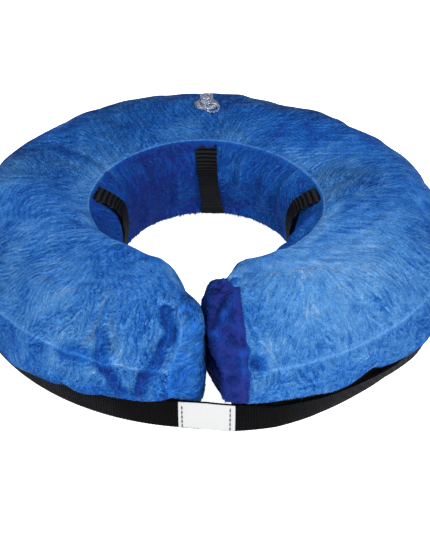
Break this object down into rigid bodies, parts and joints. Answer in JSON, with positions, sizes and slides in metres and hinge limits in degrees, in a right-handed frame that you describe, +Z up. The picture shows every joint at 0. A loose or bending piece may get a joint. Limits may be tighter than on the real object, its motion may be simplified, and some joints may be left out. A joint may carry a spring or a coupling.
{
  "type": "inflatable recovery collar",
  "caption": "Inflatable plush-covered ring collar for a dog, open at the front and closed by a webbing strap, with a clear valve and neck loops.",
  "frame": {"origin": "on the neck opening's axis, on the plane the collar rests on", "axes": "+Z up along the neck opening's axis; the opening between the two ends points towards -Y; +X is the side the strap closes onto"},
  "size_m": [0.399, 0.3968, 0.0936],
  "materials": {
    "plush": "short brushed pile, royal blue, dull with a slight sheen along the pile",
    "black_nylon": "fine plain weave, dull",
    "webbing": "ribbed woven webbing, slight sheen",
    "hook_and_loop": "fuzzy loop pile and stiff hooks, matt",
    "bladder_film": "soft translucent vinyl sheet",
    "clear_valve": "clear soft vinyl, glossy",
    "zipper_black": "moulded nylon, satin",
    "label": "white woven satin tape with dark stitching, blank"
  },
  "bodies": {
    "back": {"top_panel_back": "plush", "neck_wall_back": "plush", "side_panel_back": "plush", "base_panel_back": "black_nylon", "bladder_upper_back": "bladder_film", "bladder_lower_back": "bladder_film", "neck_loop_back": "webbing", "valve_body": "clear_valve", "zipper_tape_upper": "black_nylon", "zipper_coil_upper": "zipper_black", "zipper_tape_lower": "black_nylon", "zipper_coil_lower": "zipper_black", "zipper_stop_closed_end": "zipper_black", "zipper_stop_open_end": "zipper_black"},
    "left_arm": {"top_panel_left": "plush", "neck_wall_left": "plush", "side_panel_left": "plush", "base_panel_left": "black_nylon", "bladder_upper_left": "bladder_film", "bladder_lower_left": "bladder_film", "end_panel_left": "plush", "strap_sewn": "webbing", "neck_loop_left_rear": "webbing", "neck_loop_left_front": "webbing"},
    "right_arm": {"top_panel_right": "plush", "neck_wall_right": "plush", "side_panel_right": "plush", "base_panel_right": "black_nylon", "bladder_upper_right": "bladder_film", "bladder_lower_right": "bladder_film", "end_panel_right": "plush", "loop_band": "hook_and_loop", "neck_loop_right_rear": "webbing", "neck_loop_right_front": "webbing"},
    "closure_tail": {"strap_tail": "webbing", "hook_patch": "hook_and_loop", "woven_label": "label"},
    "plug": {"valve_plug": "clear_valve"},
    "flap": {"valve_flap": "clear_valve"},
    "slider": {"zipper_slider": "zipper_black"},
    "pull": {"zipper_pull": "zipper_black"}
  },
  "joints": [
    {"name": "ring_opening_right", "type": "hinge", "parent": "back", "child": "right_arm", "pos_m": [0.14142, 0.14142, 0.04], "axis": [0, 0, 1], "range_deg": [0, 20], "stiffness_Nm_per_rad": 0.6},
    {"name": "ring_opening_left", "type": "hinge", "parent": "back", "child": "left_arm", "pos_m": [-0.14142, 0.14142, 0.04], "axis": [0, 0, -1], "range_deg": [0, 20]},
    {"name": "strap_peel", "type": "hinge", "parent": "left_arm", "child": "closure_tail", "pos_m": [-0.02415, -0.19118, 0.013], "axis": [0, 0, -1], "range_deg": [0, 100]},
    {"name": "valve_plug_flip", "type": "hinge", "parent": "back", "child": "plug", "pos_m": [0, 0.1268, 0.0928], "axis": [1, 0, 0], "range_deg": [0, 150]},
    {"name": "valve_flap_swing", "type": "hinge", "parent": "back", "child": "flap", "pos_m": [0, 0.1382, 0.0714], "axis": [1, 0, 0], "range_deg": [0, 35], "stiffness_Nm_per_rad": 0.0005},
    {"name": "zipper_travel", "type": "hinge", "parent": "back", "child": "slider", "pos_m": [0, 0, 0.014], "axis": [0, 0, 1], "range_deg": [0, 68]},
    {"name": "zipper_pull_flip", "type": "hinge", "parent": "slider", "child": "pull", "pos_m": [0.10915, 0.16183, 0.014], "axis": [0, 0, -1], "range_deg": [0, 160]}
  ],
  "couplings": [
    {"joint": "ring_opening_left", "follows": "ring_opening_right", "ratio": 1},
    {"joint": "strap_peel", "follows": "ring_opening_right", "ratio": 5}
  ]
}
